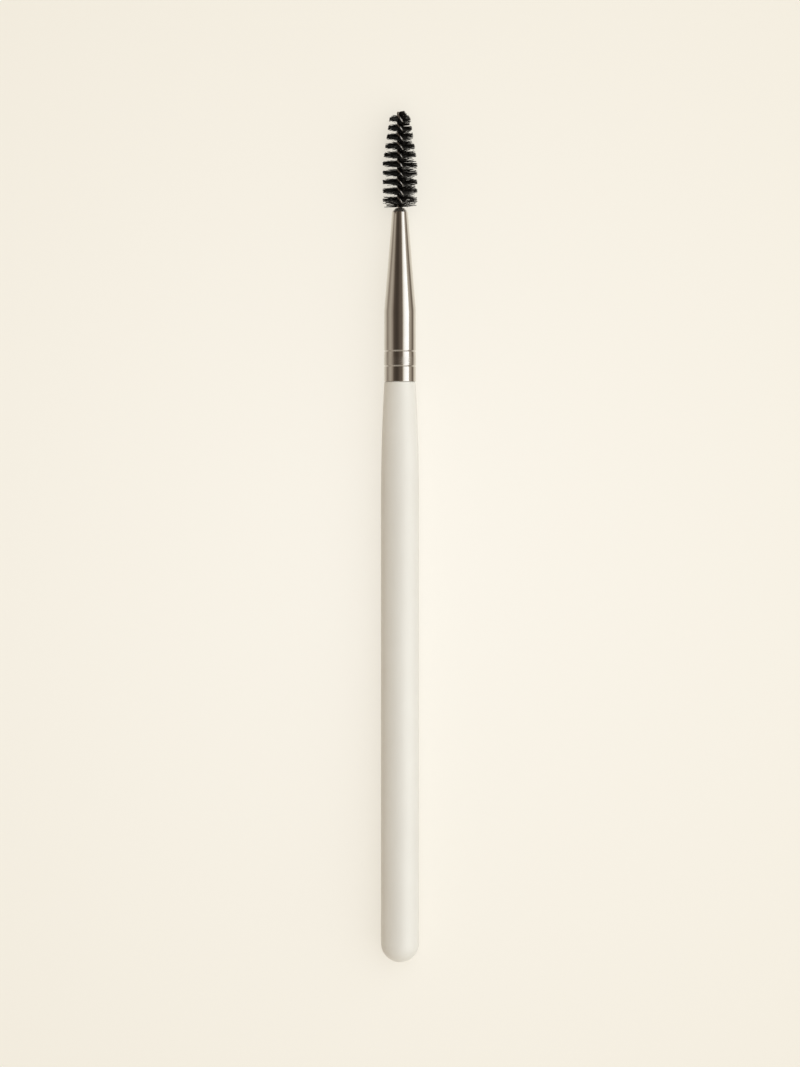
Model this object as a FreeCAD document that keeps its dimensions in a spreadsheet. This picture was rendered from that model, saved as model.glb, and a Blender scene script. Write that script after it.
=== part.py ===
import FreeCAD, Part
import math
import os
import Sketcher
from FreeCAD import Placement, Rotation, Vector

# An eyebrow brush, also called a spoolie. A turned and lacquered handle carries a drawn metal
# ferrule, which is glued and crimped on the handle's tenon. One wire, folded double and twisted
# left-handed, grips the bristles and is cast into resin inside the ferrule.
#
# The brush is drawn upright about its own Z axis, with Z = 0 at the rounded end of the handle.
# Each piece then takes the same placement: the brush lies along Y, bristles towards +Y, and
# the thickest part of the handle rests on Z = 0.

# The driving dimensions, in millimetres and degrees.
DIMENSIONS = [
    ("grip_radius", 3.8),         # straight grip, and its half-round end
    ("grip_length", 89.1),        # straight length above the half-round end
    ("taper_length", 23.1),       # long curve from the grip to the ferrule
    ("shoulder_radius", 3.12),    # handle where the ferrule stands on it
    ("tenon_clearance", 0.02),    # handle's tenon in the ferrule, on the radius
    ("tenon_setback", 1.7),       # from the tenon's end to where the ferrule starts to narrow
    ("tenon_chamfer", 0.5),
    ("mouth_gap", 0.05),          # ferrule's mouth above the handle's shoulder
    ("ferrule_radius", 3.2),
    ("ferrule_wall", 0.3),
    ("straight_length", 14.2),    # ferrule from the handle's shoulder to its cone
    ("cone_length", 19.8),
    ("cone_blend", 10.0),         # radius that rounds the edge between straight part and cone
    ("nose_radius", 1.62),        # small end of the cone
    ("rim_land", 0.12),           # flat rim round the hole in the nose
    ("hole_clearance", 0.1),      # hole in the nose, round the twisted wire
    ("crimp_height", 3.16),       # first crimp above the handle's shoulder
    ("crimp_spacing", 3.0),
    ("crimp_count", 2),
    ("crimp_bead", 0.35),         # radius of the rolled crimp's groove
    ("crimp_depth", 0.11),
    ("strand_diameter", 0.6),
    ("filament_diameter", 0.1),   # bristle gripped between the two strands
    ("turn_length", 3.62),        # one full turn of the twist, left-handed
    ("stem_depth", 5.0),          # twisted wire inside the ferrule, below its rim
    ("unwind_length", 1.0),       # where the strands straighten before the fold
    ("fold_radius", 0.5),         # wire's centre line round the fold
    ("cast_clearance", 0.02),     # resin round the wire and inside the ferrule
    ("root_gap", 0.45),           # bare wire between the ferrule and the bristles
    ("head_length", 18.8),
    ("head_radius", 3.5),
    ("head_taper", 9.0),          # trimmed taper below the blunt end
    ("blunt_length", 1.2),
    ("blunt_base_radius", 2.12),
    ("blunt_end_radius", 1.3),
    ("fin_angle", 30.0),          # sector that each row of bristles fills
    ("fin_level", 1.2),           # first height in the head where the rows stand square to X
    ("web_clearance", 0.03),      # gripped bristles to each strand
]

# How finely the twisted pieces are faceted.
STEP_ANGLE = 2 * math.pi / 16     # turn of the twist from one ring of facets to the next
WIRE_SIDES = 8
LEG_STEPS = 6
FOLD_STEPS = 8
RIM_STEPS = 2                     # facets across the outer rim of a row of bristles


def make_sheet(doc):
    """The spreadsheet that holds one named cell for each driving dimension."""
    sheet = doc.addObject("Spreadsheet::Sheet", "dims")
    for row, (alias, size) in enumerate(DIMENSIONS, start=1):
        sheet.set(f"A{row}", alias)
        sheet.set(f"B{row}", str(size))
        sheet.setAlias(f"B{row}", alias)
    doc.recompute()
    return sheet


def cell(alias):
    return f"dims.{alias}"


# Heights along the brush, as expressions of the cells.
GRIP_END = "(dims.grip_radius + dims.grip_length)"
SHOULDER = f"({GRIP_END} + dims.taper_length)"
MOUTH = f"({SHOULDER} + dims.mouth_gap)"
CONE_START = f"({SHOULDER} + dims.straight_length)"
TENON_END = f"({CONE_START} - dims.tenon_setback)"
CRIMP_LEVEL = f"({SHOULDER} + dims.crimp_height)"
NOSE = f"({CONE_START} + dims.cone_length)"

# Radii that follow from the cells.
COIL_RADIUS = "((dims.strand_diameter + dims.filament_diameter) / 2)"
CORE_RADIUS = f"({COIL_RADIUS} + dims.strand_diameter / 2)"
HOLE_RADIUS = f"({CORE_RADIUS} + dims.hole_clearance)"
BORE_RADIUS = "(dims.ferrule_radius - dims.ferrule_wall)"
NOSE_BORE = "(dims.nose_radius - dims.ferrule_wall)"
TENON_RADIUS = f"({BORE_RADIUS} - dims.tenon_clearance)"
CRIMP_AXIS_RADIUS = "(dims.ferrule_radius + dims.crimp_bead - dims.crimp_depth)"

# The nose closes in at 45 degrees, and its inside runs parallel to its outside.
RIM = f"({NOSE} + dims.nose_radius - {HOLE_RADIUS} - dims.rim_land)"
NOSE_BORE_END = f"({NOSE} - (sqrt(2) - 1) * dims.ferrule_wall)"
HOLE_START = f"({NOSE} + dims.nose_radius - sqrt(2) * dims.ferrule_wall - {HOLE_RADIUS})"

HEAD_START = f"({RIM} + dims.root_gap)"
TIP = f"({HEAD_START} + dims.head_length)"
SQUARE_LEVEL = f"({HEAD_START} + dims.fin_level)"
BLUNT_START = f"({TIP} - dims.blunt_length)"
TAPER_START = f"({BLUNT_START} - dims.head_taper)"
CORE_END = f"({RIM} - dims.stem_depth)"
FOLD_BOTTOM = f"({CORE_END} - dims.unwind_length - dims.fold_radius - dims.strand_diameter / 2)"


def value(doc, expression):
    """The number that an expression of the cells gives now."""
    return float(doc.dims.evalExpression(expression))


def lay_down(piece):
    """Lays an upright piece along Y, on its own place in the brush."""
    piece.Placement = Placement(Vector(), Rotation(Vector(1, 0, 0), -90))
    piece.setExpression("Placement.Base.y", f"-{TIP} / 2")
    piece.setExpression("Placement.Base.z", cell("grip_radius"))


def origin_plane(body, role):
    return next(item for item in body.Origin.OriginFeatures if item.Role == role)


def make_body(doc, label):
    body = doc.addObject("PartDesign::Body", label)
    body.Label = label
    lay_down(body)
    return body


def make_sketch(body, name, role):
    sketch = body.newObject("Sketcher::SketchObject", name)
    sketch.AttachmentSupport = [(origin_plane(body, role), "")]
    sketch.MapMode = "FlatFace"
    return sketch


def arc_between(start, end, radius, turn):
    """The shorter arc from start to end. turn is 1 for anticlockwise and -1 for clockwise."""
    chord = end - start
    half = chord.Length / 2
    rise = math.sqrt(max(radius * radius - half * half, 0.0))
    left = Vector(-chord.y, chord.x, 0).normalize()
    centre = (start + end) / 2 + left * (rise * turn)
    middle = centre - left * (radius * turn)
    return Part.Arc(start, middle, end)


def draw_outline(doc, sketch, corners, arcs=None):
    """Draws a closed outline whose corners and arc radii are bound to expressions.

    corners holds (x, y) expressions. arcs maps the number of a side to (radius, turn), and
    every other side is a straight line.
    """
    arcs = arcs or {}
    places = [Vector(value(doc, x), value(doc, y), 0) for x, y in corners]
    count = len(corners)
    starts = {}
    ends = {}
    for side in range(count):
        start = places[side]
        end = places[(side + 1) % count]
        if side not in arcs:
            sketch.addGeometry(Part.LineSegment(start, end))
            starts[side], ends[side] = 1, 2
            continue
        radius, turn = arcs[side]
        sketch.addGeometry(arc_between(start, end, value(doc, radius), turn))
        # A sketch keeps every arc anticlockwise, so a clockwise one begins at its second end.
        starts[side], ends[side] = (1, 2) if turn > 0 else (2, 1)
    for side in range(count):
        after = (side + 1) % count
        sketch.addConstraint(Sketcher.Constraint("Coincident", side, ends[side], after, starts[after]))
    for side, (x, y) in enumerate(corners):
        place = places[side]
        point = (side, starts[side])
        if x == "0":
            sketch.addConstraint(Sketcher.Constraint("PointOnObject", *point, -2))
        else:
            index = sketch.addConstraint(Sketcher.Constraint("DistanceX", -1, 1, *point, place.x))
            sketch.setExpression(f"Constraints[{index}]", x)
        if y == "0":
            sketch.addConstraint(Sketcher.Constraint("PointOnObject", *point, -1))
        else:
            index = sketch.addConstraint(Sketcher.Constraint("DistanceY", -1, 1, *point, place.y))
            sketch.setExpression(f"Constraints[{index}]", y)
    for side, (radius, turn) in arcs.items():
        index = sketch.addConstraint(Sketcher.Constraint("Radius", side, value(doc, radius)))
        sketch.setExpression(f"Constraints[{index}]", radius)


def draw_circle(doc, sketch, x, y, radius):
    """Draws a full circle whose centre and radius are bound to expressions."""
    centre = Vector(value(doc, x), value(doc, y), 0)
    sketch.addGeometry(Part.Circle(centre, Vector(0, 0, 1), value(doc, radius)))
    bindings = [
        (Sketcher.Constraint("DistanceX", -1, 1, 0, 3, centre.x), x),
        (Sketcher.Constraint("DistanceY", -1, 1, 0, 3, centre.y), y),
        (Sketcher.Constraint("Radius", 0, value(doc, radius)), radius),
    ]
    for constraint, expression in bindings:
        index = sketch.addConstraint(constraint)
        sketch.setExpression(f"Constraints[{index}]", expression)


def draw_crimp_ridge(doc, sketch, surface_radius, outset):
    """Draws a crimp's V, as deep as the crimp below a surface. Its base stands off by outset."""
    rolled = "(dims.crimp_bead + dims.ferrule_wall)"
    half_width = f"sqrt({rolled}^2 - ({rolled} - dims.crimp_depth)^2)"
    base = f"{surface_radius} + {outset}"
    widen = f"{half_width} * ({outset} + dims.crimp_depth) / dims.crimp_depth"
    corners = [
        (f"{surface_radius} - dims.crimp_depth", CRIMP_LEVEL),
        (base, f"{CRIMP_LEVEL} + {widen}"),
        (base, f"{CRIMP_LEVEL} - {widen}"),
    ]
    draw_outline(doc, sketch, corners)


def revolve(body, sketch, name, kind="PartDesign::Revolution"):
    """Turns a sketch fully round the brush's axis, as added or as cut material."""
    feature = body.newObject(kind, name)
    feature.Profile = sketch
    feature.ReferenceAxis = (sketch, ["V_Axis"])
    feature.Angle = 360
    return feature


def repeat_up_the_brush(body, sketch, features, name):
    """Repeats features along the axis, one for each crimp."""
    pattern = body.newObject("PartDesign::LinearPattern", name)
    pattern.Originals = features
    pattern.Direction = (sketch, ["V_Axis"])
    pattern.setExpression("Length", f"{cell('crimp_spacing')} * ({cell('crimp_count')} - 1)")
    pattern.setExpression("Occurrences", cell("crimp_count"))
    body.Tip = pattern
    return pattern


def make_handle(doc):
    """One turned piece: half-round end, straight grip, long curve, shoulder and tenon."""
    body = make_body(doc, "handle")
    grip, shoulder = cell("grip_radius"), cell("shoulder_radius")
    chamfer = cell("tenon_chamfer")
    narrowing = f"({grip} - {shoulder})"
    curve = f"({cell('taper_length')}^2 + {narrowing}^2) / (2 * {narrowing})"
    corners = [
        ("0", "0"),
        (grip, grip),
        (grip, GRIP_END),
        (shoulder, SHOULDER),
        (TENON_RADIUS, SHOULDER),
        (TENON_RADIUS, f"{TENON_END} - {chamfer}"),
        (f"{TENON_RADIUS} - {chamfer}", TENON_END),
        ("0", TENON_END),
    ]
    profile = make_sketch(body, "handle_profile", "XZ_Plane")
    draw_outline(doc, profile, corners, {0: (grip, 1), 2: (curve, 1)})
    revolve(body, profile, "handle_turning")

    # A groove under each crimp lets the ferrule's ridge lock the tenon.
    seat = make_sketch(body, "crimp_seat_profile", "XZ_Plane")
    draw_crimp_ridge(doc, seat, TENON_RADIUS, cell("crimp_bead"))
    groove = revolve(body, seat, "crimp_seat", "PartDesign::Groove")
    doc.recompute()
    repeat_up_the_brush(body, seat, [groove], "crimp_seats")
    return body


def make_ferrule(doc):
    """A drawn tube: straight part, long cone, 45 degree nose and rolled crimps."""
    body = make_body(doc, "ferrule")
    outside, nose = cell("ferrule_radius"), cell("nose_radius")
    lean = f"atan(({outside} - {nose}) / {cell('cone_length')})"
    reach = f"({cell('cone_blend')} * tan({lean} / 2))"
    corners = [
        (BORE_RADIUS, MOUTH),
        (outside, MOUTH),
        (outside, f"{CONE_START} - {reach}"),
        (f"{outside} - {reach} * sin({lean})", f"{CONE_START} + {reach} * cos({lean})"),
        (nose, NOSE),
        (f"{HOLE_RADIUS} + {cell('rim_land')}", RIM),
        (HOLE_RADIUS, RIM),
        (HOLE_RADIUS, HOLE_START),
        (NOSE_BORE, NOSE_BORE_END),
        (BORE_RADIUS, CONE_START),
    ]
    profile = make_sketch(body, "ferrule_profile", "XZ_Plane")
    draw_outline(doc, profile, corners, {2: (cell("cone_blend"), 1)})
    revolve(body, profile, "ferrule_shell")

    # Rolling presses a groove into the outside and raises the same ridge on the inside.
    ridge = make_sketch(body, "crimp_ridge_profile", "XZ_Plane")
    draw_crimp_ridge(doc, ridge, BORE_RADIUS, f"({cell('ferrule_wall')} / 4)")
    raised = revolve(body, ridge, "crimp_ridge")

    bead = make_sketch(body, "crimp_groove_profile", "XZ_Plane")
    draw_circle(doc, bead, CRIMP_AXIS_RADIUS, CRIMP_LEVEL, cell("crimp_bead"))
    sunk = revolve(body, bead, "crimp_groove", "PartDesign::Groove")
    doc.recompute()
    repeat_up_the_brush(body, bead, [raised, sunk], "crimps")
    return body


def make_resin_plug(doc):
    """Resin that fills the ferrule's cone and holds the folded end of the wire."""
    body = make_body(doc, "resin_plug")
    gap = cell("cast_clearance")
    bore = f"({CORE_RADIUS} + {gap})"
    fold_bore = f"({cell('fold_radius')} + {cell('strand_diameter')} / 2 + {gap})"
    corners = [
        ("0", f"{TENON_END} + {gap}"),
        (f"{BORE_RADIUS} - {gap}", f"{TENON_END} + {gap}"),
        (f"{BORE_RADIUS} - {gap}", CONE_START),
        (f"{NOSE_BORE} - {gap}", f"{NOSE_BORE_END} - {gap}"),
        (HOLE_RADIUS, f"{HOLE_START} - 2 * {gap}"),
        (bore, f"{HOLE_START} - 2 * {gap}"),
        (bore, f"{CORE_END} + {gap}"),
        (fold_bore, f"{CORE_END} + {gap}"),
        (fold_bore, f"{FOLD_BOTTOM} - {gap}"),
        ("0", f"{FOLD_BOTTOM} - {gap}"),
    ]
    profile = make_sketch(body, "resin_profile", "XZ_Plane")
    draw_outline(doc, profile, corners)
    revolve(body, profile, "resin_casting")
    return body


def flat_face(points):
    return Part.Face(Part.makePolygon(points + points[:1]))


def solid_through(rings, flat_sides):
    """A closed solid through rings of points, which all run the same way round.

    flat_sides says that the four corners between two rings lie in one plane. Where they
    don't, each side is split into two triangles.
    """
    faces = [flat_face(rings[0]), flat_face(rings[-1])]
    for low, high in zip(rings, rings[1:]):
        for here in range(len(low)):
            after = (here + 1) % len(low)
            if flat_sides:
                faces.append(flat_face([low[here], low[after], high[after], high[here]]))
                continue
            faces.append(flat_face([low[here], low[after], high[after]]))
            faces.append(flat_face([low[here], high[after], high[here]]))
    shell = Part.Shell(faces)
    shell.sewShape()
    solid = Part.Solid(shell)
    if solid.Volume < 0:
        solid.reverse()
    return solid


def wire_path(doc):
    """Points along the wire's centre line: down one strand, round the fold, up the other."""
    coil_radius = value(doc, COIL_RADIUS)
    turn_rate = -2 * math.pi / value(doc, cell("turn_length"))
    unwind = value(doc, cell("unwind_length"))
    fold_radius = value(doc, cell("fold_radius"))
    core_end = value(doc, CORE_END)
    tip = value(doc, TIP)
    square_level = value(doc, SQUARE_LEVEL)

    def coil_angle(height):
        # The strands stand a quarter turn from the rows of bristles.
        return turn_rate * (height - square_level) + math.pi / 2

    def coil_point(height):
        angle = coil_angle(height)
        return Vector(coil_radius * math.cos(angle), coil_radius * math.sin(angle), height)

    def leg_point(share):
        # The turn dies away evenly, while the strands part to the width of the fold.
        angle = coil_angle(core_end) - turn_rate * unwind * (share - share * share / 2)
        parting = share * share * (3 - 2 * share)
        radius = coil_radius + (fold_radius - coil_radius) * parting
        return Vector(radius * math.cos(angle), radius * math.sin(angle), core_end - unwind * share)

    coil_steps = math.ceil((tip - core_end) * abs(turn_rate) / STEP_ANGLE)
    strand = [coil_point(tip + (core_end - tip) * n / coil_steps) for n in range(coil_steps)]
    strand += [leg_point(n / LEG_STEPS) for n in range(LEG_STEPS + 1)]

    across = Vector(strand[-1].x, strand[-1].y, 0).normalize() * fold_radius
    fold_centre = Vector(0, 0, core_end - unwind)
    fold = []
    for n in range(1, FOLD_STEPS):
        bend = math.pi * n / FOLD_STEPS
        fold.append(fold_centre + across * math.cos(bend) - Vector(0, 0, fold_radius * math.sin(bend)))

    # The other strand is the same one, half a turn round.
    other = [Vector(-point.x, -point.y, point.z) for point in reversed(strand)]
    return strand + fold + other


def make_twisted_wire(doc):
    """One wire, folded double: two left-handed strands that end side by side at the tip."""
    path = wire_path(doc)
    radius = value(doc, cell("strand_diameter")) / 2
    along = (path[1] - path[0]).normalize()
    sideways = along.cross(Vector(0, 0, 1)).normalize()
    upwards = along.cross(sideways)
    ring = []
    for n in range(WIRE_SIDES):
        angle = 2 * math.pi * n / WIRE_SIDES
        ring.append(path[0] + (sideways * math.cos(angle) + upwards * math.sin(angle)) * radius)

    # Each edge of the wire runs on straight to the plane that halves the next bend. The two
    # ends are nipped off flush with the top of the bristles, so their planes are level.
    rings = []
    for n, point in enumerate(path):
        before = along
        along = (path[n + 1] - point).normalize() if n + 1 < len(path) else along
        level = n in (0, len(path) - 1)
        normal = Vector(0, 0, 1) if level else (before + along).normalize()
        ring = [corner + before * ((point - corner).dot(normal) / before.dot(normal)) for corner in ring]
        rings.append(ring)

    wire = doc.addObject("Part::Feature", "twisted_wire")
    wire.Label = "twisted_wire"
    wire.Shape = solid_through(rings, flat_sides=True)
    lay_down(wire)
    return wire


def bristle_ring(doc, height, radius):
    """The head's outline at one height: two sectors of bristles, joined between the strands."""
    root_radius = value(doc, CORE_RADIUS) + value(doc, cell("web_clearance"))
    web = value(doc, cell("filament_diameter")) / 2 - value(doc, cell("web_clearance"))
    half = math.radians(value(doc, cell("fin_angle"))) / 2
    web_half = math.asin(web / root_radius)
    turned = -2 * math.pi * (height - value(doc, SQUARE_LEVEL)) / value(doc, cell("turn_length"))
    ring = []
    for row in (turned, turned + math.pi):
        rim = [(radius, half * (2 * n / RIM_STEPS - 1)) for n in range(RIM_STEPS + 1)]
        corners = [(root_radius, -web_half), (root_radius, -half)] + rim
        corners += [(root_radius, half), (root_radius, web_half), (web, math.pi / 2)]
        for distance, angle in corners:
            x, y = distance * math.cos(row + angle), distance * math.sin(row + angle)
            ring.append(Vector(x, y, height))
    return ring


def make_bristles(doc):
    """Trimmed nylon bristles: two rows of fins that wind round the wire with its twist.

    The head is trimmed to a cylinder, then a long taper, then a short blunt end.
    """
    full, base, end = cell("head_radius"), cell("blunt_base_radius"), cell("blunt_end_radius")
    stretches = [
        (HEAD_START, TAPER_START, full, full),
        (TAPER_START, BLUNT_START, full, base),
        (BLUNT_START, TIP, base, end),
    ]
    turn = value(doc, cell("turn_length"))
    rings = [bristle_ring(doc, value(doc, HEAD_START), value(doc, full))]
    for stretch in stretches:
        low, high, low_radius, high_radius = (value(doc, size) for size in stretch)
        steps = math.ceil((high - low) / turn * 2 * math.pi / STEP_ANGLE)
        for n in range(1, steps + 1):
            height = low + (high - low) * n / steps
            radius = low_radius + (high_radius - low_radius) * n / steps
            rings.append(bristle_ring(doc, height, radius))

    bristles = doc.addObject("Part::Feature", "bristles")
    bristles.Label = "bristles"
    bristles.Shape = solid_through(rings, flat_sides=False)
    lay_down(bristles)
    return bristles


def check(doc, pieces):
    """Stops before anything is written if a feature failed or a piece isn't one sound solid."""
    for item in doc.Objects:
        if "Invalid" in item.State or "Error" in item.State:
            raise RuntimeError(f"{item.Name} is {item.State}")
    for piece in pieces:
        shape = piece.Shape
        if shape.isNull() or not shape.isValid() or len(shape.Solids) != 1:
            raise RuntimeError(f"{piece.Label} has no single valid solid")


def main():
    doc = FreeCAD.newDocument("eyebrow_brush")
    make_sheet(doc)
    pieces = [
        make_handle(doc),
        make_ferrule(doc),
        make_resin_plug(doc),
        make_twisted_wire(doc),
        make_bristles(doc),
    ]
    doc.recompute()
    check(doc, pieces)
    os.makedirs("parts", exist_ok=True)
    for piece in pieces:
        piece.Shape.exportStep(f"parts/{piece.Label}.step")
        print(f"{piece.Label}: {piece.Shape.Volume:.3f} cubic mm")


main()
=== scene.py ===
import math

import bpy
import numpy as np
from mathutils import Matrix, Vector


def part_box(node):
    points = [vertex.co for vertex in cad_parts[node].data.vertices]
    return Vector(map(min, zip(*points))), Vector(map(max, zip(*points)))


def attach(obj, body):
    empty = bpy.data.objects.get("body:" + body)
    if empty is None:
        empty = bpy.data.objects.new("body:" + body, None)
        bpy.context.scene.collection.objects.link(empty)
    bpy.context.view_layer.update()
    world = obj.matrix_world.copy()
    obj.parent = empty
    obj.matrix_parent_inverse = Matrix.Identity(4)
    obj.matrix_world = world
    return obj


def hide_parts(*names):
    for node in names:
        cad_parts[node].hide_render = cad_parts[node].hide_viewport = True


# An eyebrow brush that lies along Y, with its bristles towards +Y and its camera side up.
# Metres throughout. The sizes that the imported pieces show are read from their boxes. The rest
# are the CAD model's own, repeated here, unless a comment says that they are this scene's.

MM = 0.001

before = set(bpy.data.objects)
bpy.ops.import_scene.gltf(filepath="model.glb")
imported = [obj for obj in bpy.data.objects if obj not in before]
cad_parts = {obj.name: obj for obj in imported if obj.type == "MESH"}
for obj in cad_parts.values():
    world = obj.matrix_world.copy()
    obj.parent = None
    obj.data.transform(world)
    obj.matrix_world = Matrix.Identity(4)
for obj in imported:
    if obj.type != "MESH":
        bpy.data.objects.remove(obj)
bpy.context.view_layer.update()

handle_low, handle_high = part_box("handle")
ferrule_low, ferrule_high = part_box("ferrule")
wire_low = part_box("twisted_wire")[0]
bristles_low, bristles_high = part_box("bristles")

AXIS_HEIGHT = 3.8 * MM            # the brush's own axis above the floor

GRIP_RADIUS = 3.8 * MM
GRIP_LENGTH = 89.1 * MM
TAPER_LENGTH = 23.1 * MM
SHOULDER_RADIUS = 3.12 * MM
TENON_RADIUS = 2.88 * MM
TENON_CHAMFER = 0.5 * MM

FERRULE_RADIUS = 3.2 * MM
FERRULE_WALL = 0.3 * MM
STRAIGHT_LENGTH = 14.15 * MM      # from the mouth to the middle of the blend into the cone
CONE_LENGTH = 19.8 * MM
CONE_BLEND = 10.0 * MM
NOSE_RADIUS = 1.62 * MM
NOSE_ANGLE = 45                   # degrees
HOLE_RADIUS = 0.75 * MM
CRIMP_HEIGHT = 3.11 * MM          # first crimp above the mouth
CRIMP_SPACING = 3.0 * MM
CRIMP_COUNT = 2

STRAND_RADIUS = 0.3 * MM
COIL_RADIUS = 0.35 * MM           # centre line of each strand round the brush's axis
TURN_LENGTH = 3.62 * MM           # one full turn of the twist, left-handed
SQUARE_STEP = 1.2 * MM            # from the head's start to where the rows stand square to X
UNWIND_LENGTH = 1.0 * MM
FOLD_RADIUS = 0.5 * MM

FILAMENT_RADIUS = 0.05 * MM
ROOT_GAP = 0.45 * MM              # bare wire between the ferrule and the bristles
HEAD_RADIUS = 3.5 * MM
HEAD_TAPER = 9.0 * MM
BLUNT_LENGTH = 1.2 * MM
BLUNT_BASE_RADIUS = 2.12 * MM
BLUNT_END_RADIUS = 1.3 * MM

# This scene's own crimps, narrower and shallower than the solid's, so that they show as thin
# lines. Inside the ferrule and in the tenon their half width and depth are shares of these.
CRIMP_HALF_WIDTH = 0.17 * MM
CRIMP_DEPTH = 0.09 * MM
BORE_CRIMP = (1.6, 0.9)
TENON_CRIMP = (1.8, 1.0)
BAND_CROWN = 0.02 * MM            # swell of the band between the two crimps

# This scene's own softened edges.
SHOULDER_EDGE = 0.12 * MM
MOUTH_EDGE = 0.07 * MM
BORE_EDGE = 0.04 * MM
NOSE_EDGE = 0.16 * MM
# The edges of the nose's flat rim: each point outwards from the hole, and above the rim.
RIM_EDGES = [(0.16 * MM, -0.04 * MM), (0.10 * MM, 0.0), (0.03 * MM, 0.0), (0.0, -0.03 * MM)]

# This scene's own bristles, which are single ones where the solid has rows of fins.
FILAMENT_COUNT = 1000             # each is gripped at its middle and shows as two bristles
FAN_HALF_WIDTH = 0.36 * MM        # of a row of bristles at its tips, along the brush
FIRST_ROOT = 0.05 * MM            # above the head's start
ROOTLESS = 0.15 * MM              # length without roots, at both ends of the head together
WORN_LENGTH = 3.4 * MM            # of the head, from its root
CUT_LENGTH = 0.9 * MM             # of the head, beside the wire's cut ends
CUT_RISE = 0.3 * MM               # how far the last bristles lean towards the tip
PAST_TIP = 0.1 * MM               # how far bristles reach past the tip at most
SPLAYED_COUNT = 11                # single bristles at the root, on each side
SPLAYED_SCALE = 1.4               # their thickness, since each stands alone
BRISTLE_SEED = 11

HANDLE_END = handle_low.y
MOUTH = ferrule_low.y
CONE_START = MOUTH + STRAIGHT_LENGTH
NOSE = CONE_START + CONE_LENGTH
RIM = ferrule_high.y
CRIMP_LEVELS = [MOUTH + CRIMP_HEIGHT + CRIMP_SPACING * n for n in range(CRIMP_COUNT)]
HEAD_START = bristles_low.y
TIP = bristles_high.y
SQUARE_LEVEL = HEAD_START + SQUARE_STEP
FOLD_CENTRE = wire_low.y + FOLD_RADIUS + STRAND_RADIUS

# How finely the pieces are faceted.
ROUND_SEGMENTS = 160              # round the handle and the ferrule
STRAND_SIDES = 20
TURN_STEPS = 40                   # along one turn of the twist
FOLD_STEPS = 16                   # along each unwound strand, and round the fold
FILAMENT_RINGS = 6
FILAMENT_SIDES = 6
ROUND_CREASE = 32                 # degrees between facets, from which an edge stays sharp
WIRE_CREASE = 50

CAMERA_DISTANCE = 1000 * MM       # from the brush's axis
VIEW_LENGTH = 213.4 * MM          # length along the brush that the picture's height shows
VIEW_SHIFT = 0.7 * MM             # of the picture's middle, towards the bristles

# What polished metal shows of the photograph's studio: how bright it is at each angle from
# straight above the brush, positive towards +X.
STUDIO_SHADES = [
    (-90, 0.31), (-77, 0.345), (-69, 0.335), (-60, 0.29), (-52, 0.18), (-45, 0.07),
    (-29, 0.042), (-14, 0.045), (0, 0.09), (12, 0.10), (17, 0.145), (21, 0.36), (25, 0.66),
    (31, 0.94), (42, 1.15), (65, 1.28), (71, 0.88), (77, 0.37), (84, 0.21), (90, 0.15),
]
ARCH_RADIUS = 0.6
# The same at the arch's ends, by height as a share of the card's: beyond the rounded end, and
# beyond the bristles.
LOW_END, HIGH_END = -0.8, 0.42
END_HEIGHT = 0.61
LOW_END_SHADES = [(0.0, 0.80), (0.3, 0.60), (1.0, 0.42)]
HIGH_END_SHADES = [(0.0, 0.75), (0.1, 0.60), (0.28, 0.16), (1.0, 0.07)]
# The same close to the brush at each side, by height above the floor in millimetres.
STRIP_PLACE = 5 * MM
STRIP_START = -110 * MM
STRIP_END = TIP + 10 * MM
LEFT_SHADES = [
    (0.0, 0.70), (1.2, 0.66), (3.0, 0.60), (4.0, 0.50), (4.8, 0.29), (5.5, 0.20), (6.1, 0.31),
    (7.2, 0.38), (7.8, 0.35),
]
RIGHT_SHADES = [
    (0.0, 0.78), (1.2, 0.74), (3.4, 0.68), (4.3, 0.48), (4.9, 0.12), (5.5, 0.13), (6.2, 0.28),
    (7.2, 0.38), (7.8, 0.50),
]
# The head strip is a dark card, so the wire and bristles show painted shade in their reflections
# at the head's left.
HEAD_SHADES = [(0.0, 0.10), (3.0, 0.06), (7.8, 0.09)]   # at the left of the bristles
# The colour of those shades, with green and blue as shares of red at each shade: the lamp is
# white, and the darker rest is browner.
TINTS = [(0.05, 0.78, 0.60), (0.35, 0.885, 0.735), (0.75, 0.945, 0.82), (1.0, 1.0, 1.0)]

LAMP_SPAN = (-17.0, 85.0)         # degrees from straight above, positive towards +X
LAMP_DISTANCE = 0.7
LAMP_LENGTH = 2.0
LAMP_RADIANCE = 0.79
LAMP_COLOUR = (0.86, 0.94, 1.0)
ROOM_COLOUR = (1.0, 0.85, 0.67, 1.0)
ROOM_STRENGTH = 0.46

# The floor's colour right round the brush, brighter than BACKDROP_FAR: a painted pool of light.
BACKDROP_PAINTED_GLOW = (1.0, 0.962, 0.872)    # round the brush
BACKDROP_FAR = (0.915, 0.866, 0.754)
BACKDROP_SPREAD = 160             # millimetres, the unit of the two stops below
BACKDROP_STOPS = [(0.1, BACKDROP_PAINTED_GLOW), (0.85, BACKDROP_FAR)]
FLOOR_COLOUR = (0.92, 0.878, 0.805, 1.0)
FLOOR_GLOW = 0.64                 # share of the backdrop's colour that shows as it is
FLOOR_DROP = 0.02 * MM            # below the brush, so that the two don't touch
FLOOR_HALF = 4.0


# Meshes

def link_mesh(name, vertices, faces):
    mesh = bpy.data.meshes.new(name)
    mesh.from_pydata(vertices, [], faces)
    mesh.validate()
    mesh.shade_smooth()
    piece = bpy.data.objects.new(name, mesh)
    bpy.context.scene.collection.objects.link(piece)
    return piece


def arc(centre, radius, start, end, steps):
    """Points (radius, place along the brush) on an arc, from start to end in degrees."""
    points = []
    for step in range(steps + 1):
        angle = math.radians(start + (end - start) * step / steps)
        points.append((centre[0] + radius * math.cos(angle), centre[1] + radius * math.sin(angle)))
    return points


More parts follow.
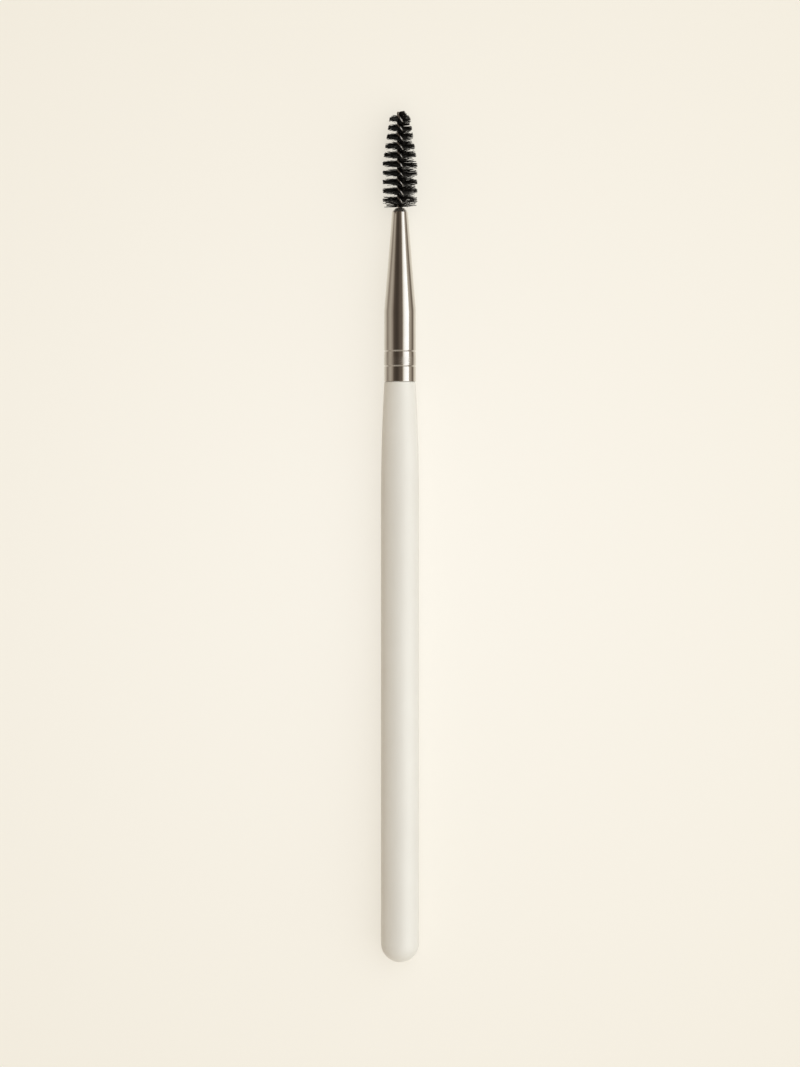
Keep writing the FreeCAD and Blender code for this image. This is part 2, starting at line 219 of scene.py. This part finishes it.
def lathe(name, profile, closed):
    """Turns (radius, place along the brush) points round the brush's axis.

    A closed profile is a ring, as of a tube. An open one starts and ends on the axis.
    """
    vertices, faces, rings = [], [], []
    for radius, place in profile:
        if radius < 1e-9:
            rings.append([len(vertices)])
            vertices.append((0.0, place, AXIS_HEIGHT))
            continue
        rings.append(list(range(len(vertices), len(vertices) + ROUND_SEGMENTS)))
        for n in range(ROUND_SEGMENTS):
            angle = 2 * math.pi * n / ROUND_SEGMENTS
            x, z = radius * math.cos(angle), radius * math.sin(angle)
            vertices.append((x, place, AXIS_HEIGHT + z))
    pairs = list(zip(rings, rings[1:]))
    if closed:
        pairs.append((rings[-1], rings[0]))
    for low, high in pairs:
        for n in range(ROUND_SEGMENTS):
            after = (n + 1) % ROUND_SEGMENTS
            corners = [low[n % len(low)], high[n % len(high)]]
            corners += [high[after % len(high)], low[after % len(low)]]
            faces.append(list(dict.fromkeys(corners)))
    piece = link_mesh(name, vertices, faces)
    sharpen(piece, ROUND_CREASE)
    return piece


def sharpen(piece, degrees):
    piece.data.set_sharp_from_angle(angle=math.radians(degrees))


def tube_faces(first, rings, sides):
    """Faces of one tube whose rings of points follow each other, with both ends closed."""
    faces = []
    for ring in range(rings - 1):
        low = first + ring * sides
        high = low + sides
        for n in range(sides):
            after = (n + 1) % sides
            faces.append((low + n, low + after, high + after, high + n))
    last = first + (rings - 1) * sides
    faces.append(tuple(range(first + sides - 1, first - 1, -1)))
    faces.append(tuple(range(last, last + sides)))
    return faces


def give_lengthwise_uv(piece, along, across):
    """Stores a place along and across each thin piece, for materials that run along it."""
    layer = piece.data.uv_layers.new(name="lengthwise")
    corners = np.zeros(len(piece.data.loops), np.int32)
    piece.data.loops.foreach_get("vertex_index", corners)
    uv = np.stack([along[corners], across[corners]], axis=1)
    layer.data.foreach_set("uv", uv.astype(np.float32).ravel())


def pressed_in(radius, level, crimp):
    """Three points where a crimp presses in a hidden wall, from below it to above it."""
    half, depth = CRIMP_HALF_WIDTH * crimp[0], CRIMP_DEPTH * crimp[1]
    return [(radius, level - half), (radius - depth, level), (radius, level + half)]


# The handle

def make_handle():
    """Half-round end, straight grip, long curve, softened shoulder and tenon."""
    end_steps, grip_steps, taper_steps, edge_steps = 40, 12, 48, 5
    edge_start = 15                   # degrees, just past the end of the long curve
    grip_start = HANDLE_END + GRIP_RADIUS
    grip_end = grip_start + GRIP_LENGTH
    shoulder = grip_end + TAPER_LENGTH
    narrowing = GRIP_RADIUS - SHOULDER_RADIUS
    curve = (TAPER_LENGTH ** 2 + narrowing ** 2) / (2 * narrowing)
    profile = arc((0.0, grip_start), GRIP_RADIUS, -90, 0, end_steps)
    profile[0] = (0.0, HANDLE_END)
    for n in range(1, grip_steps):
        profile.append((GRIP_RADIUS, grip_start + GRIP_LENGTH * n / grip_steps))
    for n in range(taper_steps + 1):
        run = (TAPER_LENGTH - SHOULDER_EDGE) * n / taper_steps
        radius = GRIP_RADIUS - curve + math.sqrt(curve ** 2 - run ** 2)
        profile.append((radius, grip_end + run))
    edge_centre = (SHOULDER_RADIUS - SHOULDER_EDGE, shoulder - SHOULDER_EDGE)
    profile += arc(edge_centre, SHOULDER_EDGE, edge_start, 90, edge_steps)
    profile.append((TENON_RADIUS, shoulder))
    for level in CRIMP_LEVELS:
        profile += pressed_in(TENON_RADIUS, level, TENON_CRIMP)
    profile.append((TENON_RADIUS, handle_high.y - TENON_CHAMFER))
    profile.append((TENON_RADIUS - TENON_CHAMFER, handle_high.y))
    profile.append((0.0, handle_high.y))
    return lathe("handle_turned", profile, closed=False)


# The ferrule

def straight_radius(place):
    """Outside of the ferrule's straight part: rolled crimps, and a slight swell between them."""
    radius = FERRULE_RADIUS
    for level in CRIMP_LEVELS:
        near = abs(place - level) / CRIMP_HALF_WIDTH
        if near < 1:
            radius -= CRIMP_DEPTH * (1 + math.cos(math.pi * near)) / 2
    first, last = CRIMP_LEVELS[0], CRIMP_LEVELS[-1]
    if first < place < last:
        share = (place - first) / (last - first)
        radius += BAND_CROWN * math.sin(math.pi * share) ** 2
    return radius


def straight_places(start, end):
    """Where the straight part has points: even steps, and close ones through each crimp."""
    first, step, margin, crimp_points = 0.2 * MM, 0.25 * MM, 0.05 * MM, 17
    places = list(np.arange(start + first, end, step))
    for level in CRIMP_LEVELS:
        places = [place for place in places if abs(place - level) > CRIMP_HALF_WIDTH + margin]
        places += list(level + CRIMP_HALF_WIDTH * np.linspace(-1, 1, crimp_points))
    return sorted(places)


def ferrule_outside():
    """From the mouth's outer edge to the rim of the hole."""
    mouth_steps, blend_steps, nose_steps = 5, 8, 6
    lean = math.atan((FERRULE_RADIUS - NOSE_RADIUS) / CONE_LENGTH)
    start = MOUTH + MOUTH_EDGE
    end = CONE_START - CONE_BLEND * math.tan(lean / 2)
    points = arc((FERRULE_RADIUS - MOUTH_EDGE, start), MOUTH_EDGE, -90, 0, mouth_steps)
    points += [(straight_radius(place), place) for place in straight_places(start, end)]
    blend_centre = (FERRULE_RADIUS - CONE_BLEND, end)
    points += arc(blend_centre, CONE_BLEND, 0, math.degrees(lean), blend_steps)
    setback = NOSE_EDGE * math.tan((math.radians(NOSE_ANGLE) - lean) / 2)
    nose_centre = (
        NOSE_RADIUS + setback * math.sin(lean) - NOSE_EDGE * math.cos(lean),
        NOSE - setback * math.cos(lean) - NOSE_EDGE * math.sin(lean),
    )
    points += arc(nose_centre, NOSE_EDGE, math.degrees(lean), NOSE_ANGLE, nose_steps)
    points += [(HOLE_RADIUS + out, RIM + up) for out, up in RIM_EDGES]
    return points


def ferrule_inside():
    """From the hole's lower edge back down to the mouth, one wall inside the outside."""
    bore = FERRULE_RADIUS - FERRULE_WALL
    points = [
        (HOLE_RADIUS, NOSE + NOSE_RADIUS - math.sqrt(2) * FERRULE_WALL - HOLE_RADIUS),
        (NOSE_RADIUS - FERRULE_WALL, NOSE - (math.sqrt(2) - 1) * FERRULE_WALL),
        (bore, CONE_START),
    ]
    for level in reversed(CRIMP_LEVELS):
        points += reversed(pressed_in(bore, level, BORE_CRIMP))
    points.append((bore, MOUTH + BORE_EDGE))
    points.append((bore + BORE_EDGE, MOUTH))
    return points


def make_ferrule():
    """A drawn tube with two rolled crimps, a long cone and a 45 degree nose."""
    return lathe("ferrule_drawn", ferrule_outside() + ferrule_inside(), closed=True)


# The twisted wire

def turn_at(place):
    """Direction of the rows of bristles at a place along the brush, from +X towards +Z."""
    return 2 * math.pi * (place - SQUARE_LEVEL) / TURN_LENGTH


def on_coil(angle, radius, place):
    """A point on a strand, which stands a quarter turn from the rows of bristles at angle."""
    angle = angle - math.pi / 2
    return Vector((radius * math.cos(angle), place, AXIS_HEIGHT + radius * math.sin(angle)))


def wire_path():
    """The wire's centre line: down one strand, round the hidden fold, up the other."""
    core_end = FOLD_CENTRE + UNWIND_LENGTH
    steps = math.ceil((TIP - core_end) / TURN_LENGTH * TURN_STEPS)
    strand = []
    for n in range(steps):
        place = TIP + (core_end - TIP) * n / steps
        strand.append(on_coil(turn_at(place), COIL_RADIUS, place))
    unwind = 2 * math.pi * UNWIND_LENGTH / TURN_LENGTH
    for n in range(FOLD_STEPS + 1):
        share = n / FOLD_STEPS
        unwound = turn_at(core_end) - unwind * (share - share ** 2 / 2)
        parted = COIL_RADIUS + (FOLD_RADIUS - COIL_RADIUS) * share ** 2 * (3 - 2 * share)
        strand.append(on_coil(unwound, parted, core_end - UNWIND_LENGTH * share))
    axis = Vector((0.0, FOLD_CENTRE, AXIS_HEIGHT))
    across = strand[-1] - axis
    fold = []
    for n in range(1, FOLD_STEPS):
        bend = math.pi * n / FOLD_STEPS
        fold.append(axis + across * math.cos(bend) - Vector((0, FOLD_RADIUS * math.sin(bend), 0)))
    other = [Vector((-point.x, point.y, 2 * AXIS_HEIGHT - point.z)) for point in reversed(strand)]
    return strand + fold + other


def make_wire():
    """One smooth wire, folded double and twisted, with both ends nipped off level."""
    path = wire_path()
    vertices, along, across = [], [], []
    run = 0.0
    normal = Vector((1, 0, 0))
    for n, point in enumerate(path):
        ahead = path[min(n + 1, len(path) - 1)] - path[max(n - 1, 0)]
        ahead.normalize()
        normal = (normal - ahead * normal.dot(ahead)).normalized()
        side = ahead.cross(normal)
        if n:
            run += (point - path[n - 1]).length
        for k in range(STRAND_SIDES):
            angle = 2 * math.pi * k / STRAND_SIDES
            corner = point + (normal * math.cos(angle) + side * math.sin(angle)) * STRAND_RADIUS
            if n in (0, len(path) - 1):
                corner -= ahead * ((corner.y - TIP) / ahead.y)
            vertices.append(corner)
            along.append(run)
            across.append(k / STRAND_SIDES)
    wire = link_mesh("wire_twisted", vertices, tube_faces(0, len(path), STRAND_SIDES))
    give_lengthwise_uv(wire, np.array(along) / MM, np.array(across))
    sharpen(wire, WIRE_CREASE)
    return wire


# The bristles

def trim_radius(place):
    """Where the head is trimmed: a cylinder, a long taper, then a short blunt end.

    It goes on narrowing past the tip, where the last bristles lean.
    """
    blunt = TIP - BLUNT_LENGTH
    return np.interp(
        place,
        [blunt - HEAD_TAPER, blunt, TIP, TIP + 0.4 * MM],
        [HEAD_RADIUS, BLUNT_BASE_RADIUS, BLUNT_END_RADIUS, 0.9 * MM],
    )


def fanned_out(rng, roots, worn):
    """How far each tip lies from its root along the brush.

    The lane spreads a row's bristles evenly. Worn ones gather in tufts, and single ones stray.
    """
    count = len(roots)
    golden, tuft_count = 0.618034, 130
    lane = 2 * ((np.arange(count) * golden + rng.random()) % 1) - 1
    centres = np.linspace(HEAD_START, TIP, tuft_count)
    tufts = np.interp(roots, centres, rng.normal(0, 1, tuft_count))
    stray = np.where(rng.random(count) < 0.015 + 0.06 * worn, 3.0, 1.0)
    jitter = 0.14 * rng.normal(0, 1, count) * stray
    return FAN_HALF_WIDTH * (lane + (0.06 + 0.45 * worn) * tufts + jitter)


def kept_length(rng, angle, low, ends):
    """The share of its full length that each bristle has.

    A few are a little short. Many at the root are broken off, and so are those beside the
    wire's cut ends, on the lower side towards -X.
    """
    count = len(angle)
    kept = np.where(rng.random(count) < 0.08, rng.uniform(0.8, 0.97, count), 1.0)
    broken = np.maximum(0.88 * np.clip(2.2 * low - 1.1, 0, 1), 0.5 * low)
    kept = np.where(rng.random(count) < broken, 0.35, kept)
    beside_cut = (ends > 0.15) & (np.cos(angle) < -0.4) & (np.sin(angle) < 0)
    return np.where(beside_cut, rng.uniform(0.3, 0.45, count), kept)


def swayed(rng, angle, worn, ends):
    """How far each tip turns out of its row: a little, and towards one side at the cut ends."""
    scatter, brushed_to = math.radians(3.0), math.radians(38)
    sway = rng.normal(0, scatter, len(angle)) * (1 + 1.2 * worn)
    upper = np.arctan2(np.sin(angle), np.cos(angle))
    brushed = np.where(upper > 0, 0.85 * np.clip(3 * ends, 0, 1), 0.0)
    return sway + brushed * (brushed_to - upper)


def filament_paths(rng):
    """Centre lines of the bristles, from the wire out to their tips.

    They stand in two rows that turn with the twist, and fan out a little along the brush.
    The head is worn on the side towards +X and at its root: there they gather in tufts and
    single ones stray. At the wire's cut ends the upper ones are brushed over towards +X.
    """
    count = FILAMENT_COUNT
    steps = np.arange(count) + rng.random(count)
    roots = HEAD_START + FIRST_ROOT + (TIP - HEAD_START - ROOTLESS) * steps / count
    low = np.clip(1 - (roots - HEAD_START) / WORN_LENGTH, 0, 1)
    ends = np.clip((roots - (TIP - CUT_LENGTH)) / CUT_LENGTH, 0, 1)
    row_scatter = math.radians(2.0)
    halves = []
    for row in (0.0, math.pi):
        angle = turn_at(roots) + row + rng.normal(0, row_scatter, count)
        worn = np.maximum(0.5 + 0.5 * np.tanh(2.5 * np.cos(angle) - 0.4), 0.8 * low)
        drift = fanned_out(rng, roots, worn) + CUT_RISE * ends ** 2
        tips = np.clip(roots + drift, HEAD_START - ROOT_GAP, TIP + PAST_TIP)
        kept = kept_length(rng, angle, low, ends)
        reach = trim_radius(tips) * kept * (1 - np.abs(rng.normal(0, 0.012, count)))
        sway = swayed(rng, angle, worn, ends)
        bend = rng.uniform(1.1, 2.0, count)
        halves.append((roots, tips, angle, sway, reach, bend))
    roots, tips, angle, sway, reach, bend = (np.concatenate(pair) for pair in zip(*halves))
    share = np.linspace(0, 1, FILAMENT_RINGS)[None, :]
    out = reach[:, None] * share
    heading = angle[:, None] + sway[:, None] * share ** 2
    place = roots[:, None] + (tips - roots)[:, None] * (0.1 + 0.9 * share ** bend[:, None])
    place = np.minimum(place, TIP + PAST_TIP)
    return np.stack([out * np.cos(heading), place, AXIS_HEIGHT + out * np.sin(heading)], axis=2)


def splayed_paths(rng):
    """Single filaments at the root of the head, spread out between the last turn and the nose."""
    share = np.linspace(0, 1, FILAMENT_RINGS)
    paths = []
    for side in (0.0, math.pi):
        for n in range(SPLAYED_COUNT):
            heading = side + rng.normal(0, 0.45)
            root = HEAD_START - 0.2 * MM + 0.04 * MM * n
            rise = (rng.uniform(0.0, 0.25) + 0.12 * n) * MM
            out = HEAD_RADIUS * rng.uniform(0.75, 1.0) * share
            place = root + rise * share ** 1.15
            x, z = out * math.cos(heading), AXIS_HEIGHT + out * math.sin(heading)
            paths.append(np.stack([x, place, z], axis=1))
    return np.array(paths)


def make_bristles():
    """Trimmed nylon filaments, gripped between the two strands of the wire."""
    rng = np.random.default_rng(BRISTLE_SEED)
    rings, sides = FILAMENT_RINGS, FILAMENT_SIDES
    trimmed = filament_paths(rng)
    splayed = splayed_paths(rng)
    paths = np.concatenate([trimmed, splayed])
    ahead = paths[:, -1] - paths[:, 0]
    ahead /= np.linalg.norm(ahead, axis=1)[:, None]
    level = np.cross(ahead, np.array([0.0, 1.0, 0.0]))
    level /= np.linalg.norm(level, axis=1)[:, None]
    upright = np.cross(level, ahead)
    radius = FILAMENT_RADIUS * rng.uniform(0.85, 1.12, len(paths))
    radius[-len(splayed):] *= SPLAYED_SCALE
    angles = 2 * math.pi * np.arange(sides) / sides
    around = level[:, None] * np.cos(angles)[:, None] + upright[:, None] * np.sin(angles)[:, None]
    vertices = paths[:, :, None, :] + (around * radius[:, None, None])[:, None, :, :]
    vertices = vertices.reshape(-1, 3)
    faces = []
    for n in range(len(paths)):
        faces += tube_faces(n * rings * sides, rings, sides)
    bristles = link_mesh("bristles_nylon", vertices.tolist(), faces)
    along = np.tile(np.repeat(np.linspace(0, 1, rings), sides), len(paths))
    own = np.repeat(rng.random(len(paths)), rings * sides)
    give_lengthwise_uv(bristles, along, own)
    return bristles


# Materials

def start_material(name):
    material = bpy.data.materials.new(name)
    material.use_nodes = True
    tree = material.node_tree
    return material, tree, tree.nodes["Principled BSDF"]


def calculate(tree, operation, *values):
    """A math node's result. Each value is a number or another node's output."""
    node = tree.nodes.new("ShaderNodeMath")
    node.operation = operation
    for socket, value in zip(node.inputs, values):
        if isinstance(value, float):
            socket.default_value = value
        else:
            tree.links.new(value, socket)
    return node.outputs[0]


def scaled(tree, vector, scale):
    mapping = tree.nodes.new("ShaderNodeMapping")
    mapping.inputs["Scale"].default_value = scale
    tree.links.new(vector, mapping.inputs["Vector"])
    return mapping.outputs["Vector"]


def object_coordinates(tree, stretch):
    """Object coordinates in millimetres, divided by stretch along each axis."""
    source = tree.nodes.new("ShaderNodeTexCoord")
    return scaled(tree, source.outputs["Object"], [1 / (MM * size) for size in stretch])


def lengthwise_coordinates(tree, stretch):
    """A thin piece's own place along and across, each divided by its stretch."""
    source = tree.nodes.new("ShaderNodeUVMap")
    source.uv_map = "lengthwise"
    return scaled(tree, source.outputs["UV"], [1 / size for size in stretch] + [1.0])


def coordinate(tree, kind, axis):
    """One axis of the object's own coordinates, or of its box, where it runs from 0 to 1."""
    source = tree.nodes.new("ShaderNodeTexCoord")
    split = tree.nodes.new("ShaderNodeSeparateXYZ")
    tree.links.new(source.outputs[kind], split.inputs["Vector"])
    return split.outputs[axis]


def along_brush(tree, start, end, stops):
    """A grey by the place along the brush, whose stops run from 0 at start to 1 at end."""
    place = tree.nodes.new("ShaderNodeMapRange")
    place.inputs["From Min"].default_value = start
    place.inputs["From Max"].default_value = end
    tree.links.new(coordinate(tree, "Object", "Y"), place.inputs["Value"])
    return ramp(tree, place.outputs["Result"], [(spot, (grey,) * 3) for spot, grey in stops])


def noise(tree, vector, detail, roughness=0.5):
    node = tree.nodes.new("ShaderNodeTexNoise")
    node.inputs["Scale"].default_value = 1.0
    node.inputs["Detail"].default_value = detail
    node.inputs["Roughness"].default_value = roughness
    tree.links.new(vector, node.inputs["Vector"])
    return node.outputs["Fac"]


def mottle(tree, stretch, detail, roughness=0.5):
    """Noise through the whole piece, stretched by so many millimetres along each axis."""
    return noise(tree, object_coordinates(tree, stretch), detail, roughness)


def ramp(tree, factor, stops):
    """Colours at places from 0 to 1."""
    node = tree.nodes.new("ShaderNodeValToRGB")
    elements = node.color_ramp.elements
    while len(elements) < len(stops):
        elements.new(1.0)
    for element, (place, colour) in zip(elements, stops):
        element.position = place
        element.color = (*colour, 1.0)
    tree.links.new(factor, node.inputs["Fac"])
    return node.outputs["Color"]


def to_range(tree, factor, low, high):
    node = tree.nodes.new("ShaderNodeMapRange")
    node.inputs["To Min"].default_value = low
    node.inputs["To Max"].default_value = high
    tree.links.new(factor, node.inputs["Value"])
    return node.outputs["Result"]


def bump(tree, height, depth, below=None):
    """A bump of that depth in metres, on top of the bump below it."""
    node = tree.nodes.new("ShaderNodeBump")
    node.inputs["Distance"].default_value = depth
    tree.links.new(height, node.inputs["Height"])
    if below:
        tree.links.new(below, node.inputs["Normal"])
    return node.outputs["Normal"]


def give_surface(tree, shader, colour, roughness, normal):
    for output, socket in ((colour, "Base Color"), (roughness, "Roughness"), (normal, "Normal")):
        tree.links.new(output, shader.inputs[socket])


def lacquer_material():
    """Off-white satin lacquer over turned wood: slight mottling, orange peel, a hint of grain."""
    material, tree, shader = start_material("lacquer_off_white")
    clouds = mottle(tree, (5, 14, 5), 4)
    colour = ramp(tree, clouds, [(0.25, (0.770, 0.748, 0.694)), (0.75, (0.805, 0.786, 0.732))])
    smears = mottle(tree, (1.2, 3.0, 1.2), 4, roughness=0.6)
    grain = bump(tree, mottle(tree, (0.25, 7, 0.25), 2), 0.006 * MM)
    peel = bump(tree, mottle(tree, (0.45, 0.6, 0.45), 2), 0.004 * MM, grain)
    give_surface(tree, shader, colour, to_range(tree, smears, 0.34, 0.46), peel)
    shader.inputs["Coat Weight"].default_value = 0.12
    shader.inputs["Coat Roughness"].default_value = 0.25
    return material


def ferrule_material():
    """Pale metal, polished on a lathe: fine rings round it and a slightly uneven tone.

    The lower part of the band between the crimps keeps the roller's closer, duller rings, and
    the nose is left as cut.
    """
    material, tree, shader = start_material("ferrule_polished")
    shader.inputs["Metallic"].default_value = 1.0
    tone = mottle(tree, (2.2, 3.5, 2.2), 4)
    colour = ramp(tree, tone, [(0.3, (0.84, 0.815, 0.77)), (0.7, (0.90, 0.88, 0.84))])
    band = (CRIMP_LEVELS[0] + 0.2 * MM, CRIMP_LEVELS[1] - 0.9 * MM)
    rolled = along_brush(tree, *band, [(0.0, 0.0), (0.12, 1.0), (0.7, 1.0), (1.0, 0.0)])
    cut = along_brush(tree, NOSE, NOSE + 0.2 * MM, [(0.0, 0.0), (1.0, 1.0)])
    rings = mottle(tree, (6, 0.05, 6), 5, roughness=0.65)
    roughness = to_range(tree, rings, 0.06, 0.14)
    for zone, added in ((rolled, 0.14), (cut, 0.32)):
        roughness = calculate(tree, "MULTIPLY_ADD", zone, added, roughness)
    wide = bump(tree, mottle(tree, (9, 0.3, 9), 2), 0.0012 * MM)
    fine = bump(tree, rings, 0.0006 * MM, wide)
    grooves = calculate(tree, "MULTIPLY", rolled, mottle(tree, (9, 0.2, 9), 1))
    give_surface(tree, shader, colour, roughness, bump(tree, grooves, 0.012 * MM, fine))
    return material


def wire_material():
    """Bright drawn steel, with die lines along the wire."""
    material, tree, shader = start_material("steel_drawn")
    shader.inputs["Metallic"].default_value = 1.0
    tone = noise(tree, lengthwise_coordinates(tree, (2.0, 0.2)), 3)
    colour = ramp(tree, tone, [(0.3, (0.62, 0.605, 0.585)), (0.7, (0.82, 0.805, 0.79))])
    lines = noise(tree, lengthwise_coordinates(tree, (4.0, 0.02)), 3)
    roughness = to_range(tree, lines, 0.08, 0.18)
    give_surface(tree, shader, colour, roughness, bump(tree, lines, 0.001 * MM))
    return material


def bristle_material():
    """Black nylon: each filament a slightly different black, with a fine broken sheen."""
    material, tree, shader = start_material("nylon_black")
    own = noise(tree, lengthwise_coordinates(tree, (6.0, 0.002)), 1)
    colour = ramp(tree, own, [(0.3, (0.0020, 0.0018, 0.0016)), (0.7, (0.0080, 0.0066, 0.0052))])
    scuffs = mottle(tree, (0.3, 0.3, 0.3), 3)
    roughness = to_range(tree, scuffs, 0.22, 0.42)
    give_surface(tree, shader, colour, roughness, bump(tree, scuffs, 0.002 * MM))
    shader.inputs["Specular IOR Level"].default_value = 0.55
    return material


def resin_material():
    """Cured amber resin, cloudy where it set."""
    material, tree, shader = start_material("resin_cured")
    clouds = mottle(tree, (1.5, 1.5, 1.5), 5)
    colour = ramp(tree, clouds, [(0.3, (0.60, 0.50, 0.33)), (0.7, (0.72, 0.64, 0.47))])
    roughness = to_range(tree, clouds, 0.2, 0.4)
    give_surface(tree, shader, colour, roughness, bump(tree, clouds, 0.01 * MM))
    return material


def dress(piece, material, node):
    """Gives a piece its material, hangs it under the root body and hides the CAD node that it
    replaces.
    """
    piece.data.materials.append(material)
    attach(piece, "root")
    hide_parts(node)


# The studio

def seen_directly(tree):
    """1 for rays that show the background: from the camera, from gloss and through glass."""
    path = tree.nodes.new("ShaderNodeLightPath").outputs
    seen = calculate(tree, "MAXIMUM", path["Is Camera Ray"], path["Is Glossy Ray"])
    return calculate(tree, "MAXIMUM", seen, path["Is Transmission Ray"])


def mixed(tree, share, first, second):
    """The first shader, with that share of the second."""
    mix = tree.nodes.new("ShaderNodeMixShader")
    tree.links.new(share, mix.inputs["Fac"])
    tree.links.new(first, mix.inputs[1])
    tree.links.new(second, mix.inputs[2])
    return mix.outputs["Shader"]


def floor_material():
    """Pale cream paper, with a painted pool of light round the brush.

    Part of its colour shows as it is, so the brush's shadow on it stays soft.
    """
    material, tree, shader = start_material("floor_cream")
    shader.inputs["Base Color"].default_value = FLOOR_COLOUR
    shader.inputs["Roughness"].default_value = 0.9
    shader.inputs["Specular IOR Level"].default_value = 0.1
    # Painted light: the glow fades from a painted pool of light round the brush out to
    # BACKDROP_FAR.
    away = tree.nodes.new("ShaderNodeVectorMath")
    away.operation = "LENGTH"
    tree.links.new(object_coordinates(tree, (BACKDROP_SPREAD,) * 3), away.inputs[0])
    glow = tree.nodes.new("ShaderNodeEmission")
    tree.links.new(ramp(tree, away.outputs["Value"], BACKDROP_STOPS), glow.inputs["Color"])
    share = calculate(tree, "MULTIPLY", seen_directly(tree), FLOOR_GLOW)
    surface = mixed(tree, share, shader.outputs["BSDF"], glow.outputs["Emission"])
    tree.links.new(surface, tree.nodes["Material Output"].inputs["Surface"])
    return material


def make_floor():
    half = FLOOR_HALF
    corners = [(-half, -half, 0), (half, -half, 0), (half, half, 0), (-half, half, 0)]
    floor = link_mesh("floor", corners, [(0, 1, 2, 3)])
    floor.location.z = -FLOOR_DROP
    floor.data.materials.append(floor_material())


def make_world():
    """A cream room where it is seen, and a plain warm light on everything else."""
    world = bpy.data.worlds.new("room")
    bpy.context.scene.world = world
    world.use_nodes = True
    tree = world.node_tree
    light = tree.nodes["Background"]
    light.inputs["Color"].default_value = ROOM_COLOUR
    light.inputs["Strength"].default_value = ROOM_STRENGTH
    shown = tree.nodes.new("ShaderNodeBackground")
    shown.inputs["Color"].default_value = (*BACKDROP_FAR, 1.0)
    backgrounds = (light.outputs["Background"], shown.outputs["Background"])
    surface = mixed(tree, seen_directly(tree), *backgrounds)
    tree.links.new(surface, tree.nodes["World Output"].inputs["Surface"])


def make_key_light():
    """One wide soft lamp, from a little left of the camera down to the brush's right side."""
    low, high = LAMP_SPAN
    middle = math.radians((low + high) / 2)
    lamp = bpy.data.lights.new("key_light", "AREA")
    lamp.shape = "RECTANGLE"
    lamp.size = 2 * LAMP_DISTANCE * math.tan(math.radians(high - low) / 2)
    lamp.size_y = LAMP_LENGTH
    lamp.color = LAMP_COLOUR
    lamp.energy = LAMP_RADIANCE * 4 * lamp.size * lamp.size_y
    panel = bpy.data.objects.new("key_light", lamp)
    height = AXIS_HEIGHT + LAMP_DISTANCE * math.cos(middle)
    panel.location = (LAMP_DISTANCE * math.sin(middle), 0.0, height)
    panel.rotation_euler = (0.0, middle, 0.0)
    panel.visible_camera = False
    panel.visible_glossy = False
    bpy.context.scene.collection.objects.link(panel)


def tint(shade):
    """The colour of a shade of the studio, which is its green."""
    shades, greens, blues = zip(*TINTS)
    red = shade / np.interp(shade, shades, greens)
    return red, shade, red * np.interp(shade, shades, blues)


def shade_material(name, axis, stops):
    """Shades of the studio at places from 0 to 1 along one axis."""
    material, tree, shader = start_material(name)
    tree.nodes.remove(shader)
    tints = [(place, tint(shade)) for place, shade in stops]
    glow = tree.nodes.new("ShaderNodeEmission")
    colour = ramp(tree, coordinate(tree, "Generated", axis), tints)
    tree.links.new(colour, glow.inputs["Color"])
    tree.links.new(glow.outputs["Emission"], tree.nodes["Material Output"].inputs["Surface"])
    return material


def make_card(name, vertices, faces, axis, stops):
    """A plain card that only reflections see, with its shades along one axis of its box."""
    card = link_mesh(name, vertices, faces)
    card.data.materials.append(shade_material(name, axis, stops))
    card.visible_camera = False
    card.visible_diffuse = False
    card.visible_transmission = False
    card.visible_shadow = False


def make_studio_arch():
    """An arch over the brush that polished metal shows in place of the studio."""
    vertices, faces = [], []
    steps = 60
    for n in range(steps + 1):
        angle = math.radians(-90 + 180 * n / steps)
        x, z = ARCH_RADIUS * math.sin(angle), AXIS_HEIGHT + ARCH_RADIUS * math.cos(angle)
        vertices += [(x, LOW_END, z), (x, HIGH_END, z)]
    for n in range(steps):
        faces.append((2 * n, 2 * n + 1, 2 * n + 3, 2 * n + 2))
    stops = [((1 + math.sin(math.radians(angle))) / 2, shade) for angle, shade in STUDIO_SHADES]
    make_card("studio_arch", vertices, faces, "X", stops)


def make_studio_end(name, place, shades):
    """An upright card across one end of the arch."""
    half, height = ARCH_RADIUS, END_HEIGHT
    corners = [(-half, place, 0), (half, place, 0), (half, place, height), (-half, place, height)]
    make_card(name, corners, [(0, 1, 2, 3)], "Z", shades)


def make_low_strip(name, place, start, end, shades):
    """A low strip beside the brush, for the thin line that its metal shows near each edge."""
    top = shades[-1][0]
    height = top * MM
    corners = [(place, start, 0), (place, end, 0), (place, end, height), (place, start, height)]
    stops = [(level / top, shade) for level, shade in shades]
    make_card(name, corners, [(0, 1, 2, 3)], "Z", stops)


def make_camera():
    """Straight above the middle of the brush, as the photograph looks at it."""
    lens = bpy.data.cameras.new("camera")
    lens.lens = lens.sensor_width * CAMERA_DISTANCE / VIEW_LENGTH
    lens.clip_start = 0.01
    camera = bpy.data.objects.new("camera", lens)
    camera.location = (0.0, VIEW_SHIFT, AXIS_HEIGHT + CAMERA_DISTANCE)
    bpy.context.scene.collection.objects.link(camera)
    bpy.context.scene.camera = camera


dress(make_handle(), lacquer_material(), "handle")
dress(make_ferrule(), ferrule_material(), "ferrule")
dress(make_wire(), wire_material(), "twisted_wire")
dress(make_bristles(), bristle_material(), "bristles")
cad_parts["resin_plug"].data.materials.clear()
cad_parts["resin_plug"].data.materials.append(resin_material())

make_floor()
make_world()
make_key_light()
make_studio_arch()
make_studio_end("studio_end_low", LOW_END, LOW_END_SHADES)
make_studio_end("studio_end_high", HIGH_END, HIGH_END_SHADES)
make_low_strip("low_strip_left", -STRIP_PLACE, STRIP_START, RIM, LEFT_SHADES)
make_low_strip("low_strip_right", STRIP_PLACE, STRIP_START, TIP, RIGHT_SHADES)
make_low_strip("low_strip_head", -STRIP_PLACE, RIM, STRIP_END, HEAD_SHADES)
make_camera()
bpy.context.scene.view_settings.view_transform = "Standard"
